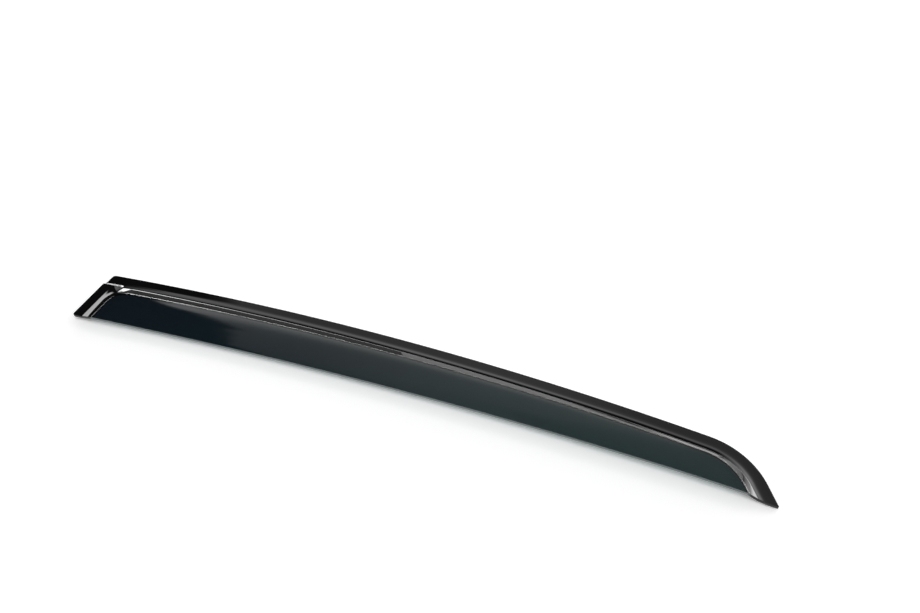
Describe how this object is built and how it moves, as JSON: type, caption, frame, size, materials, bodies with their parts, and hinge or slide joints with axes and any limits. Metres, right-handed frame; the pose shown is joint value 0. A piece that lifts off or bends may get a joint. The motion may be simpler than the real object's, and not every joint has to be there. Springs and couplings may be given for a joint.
{
  "type": "window rain deflector",
  "caption": "Smoked acrylic rain deflector for a rear side window, with a taped flange, a pillar pad and a curved tail.",
  "frame": {"origin": "on the release liner's outer face under the top flange, halfway along the deflector and halfway across the tape", "axes": "+X along the door from the pillar end to the tail, +Y across the flange towards the roof, +Z out of the deflector's outer face, away from the car"},
  "size_m": [0.7715, 0.087, 0.0118],
  "materials": {
    "smoked_acrylic": "polished, dark smoke tint",
    "foam_tape": "matt closed-cell foam",
    "release_liner": "satin film"
  },
  "bodies": {
    "root": {"visor": "smoked_acrylic", "tape_top": "foam_tape", "liner_top": "release_liner", "tape_end": "foam_tape", "liner_end": "release_liner"}
  },
  "joints": []
}
